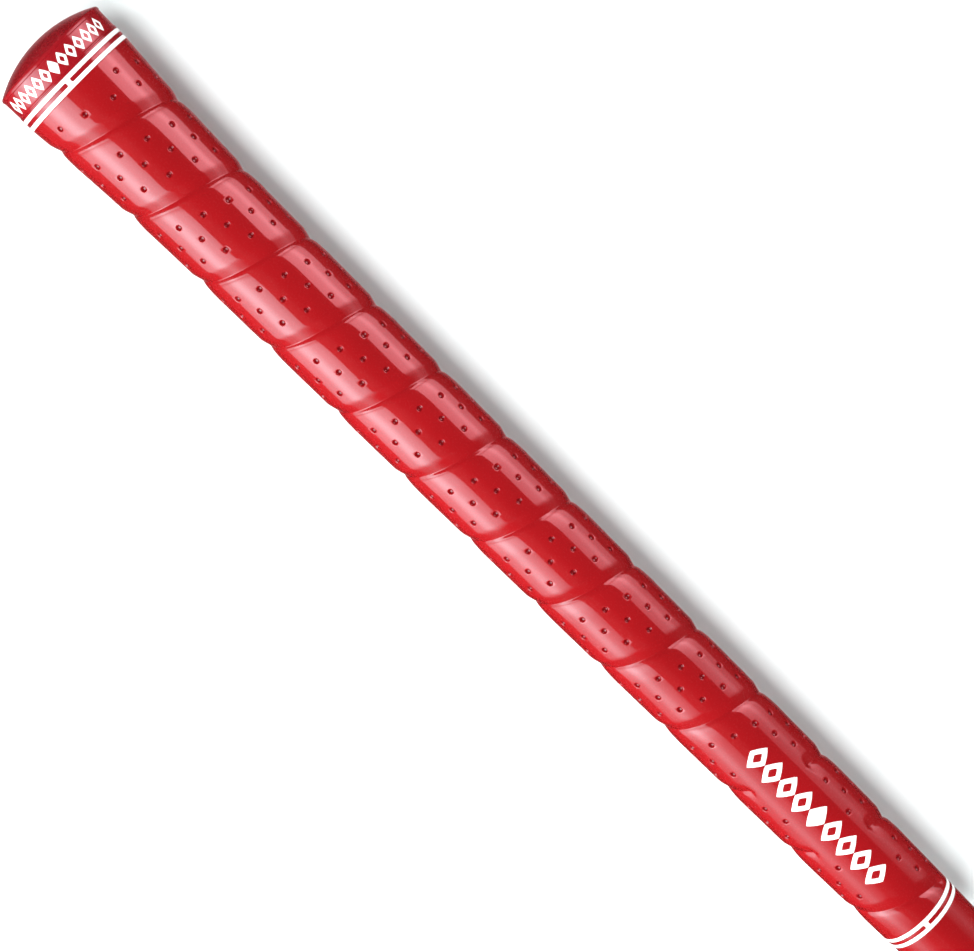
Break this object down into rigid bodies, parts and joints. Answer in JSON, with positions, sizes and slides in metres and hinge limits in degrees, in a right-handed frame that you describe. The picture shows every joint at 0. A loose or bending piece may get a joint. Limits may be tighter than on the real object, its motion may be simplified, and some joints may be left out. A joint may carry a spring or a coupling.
{
  "type": "golf grip",
  "caption": "Moulded rubber golf grip with a spiral wrap groove, a keyed end cap with a vent hole, painted ring lines and a bore for a golf shaft.",
  "frame": {"origin": "centre of the shaft bore's mouth", "axes": "+X along the bore, the way the shaft leaves; the cap is towards -X; +Z is the moulded front with the marks and ring links; +Y completes the frame"},
  "size_m": [0.2699, 0.0268, 0.0268],
  "materials": {
    "red_rubber": "glossy",
    "crimson_cap": "glossy",
    "white_paint": "satin"
  },
  "bodies": {
    "root": {"grip_sleeve": "red_rubber", "end_cap": "crimson_cap", "cap_ring_fill": "white_paint", "cap_mark_fill": "white_paint", "mouth_ring_fill": "white_paint", "sleeve_mark_fill": "white_paint"}
  },
  "joints": []
}
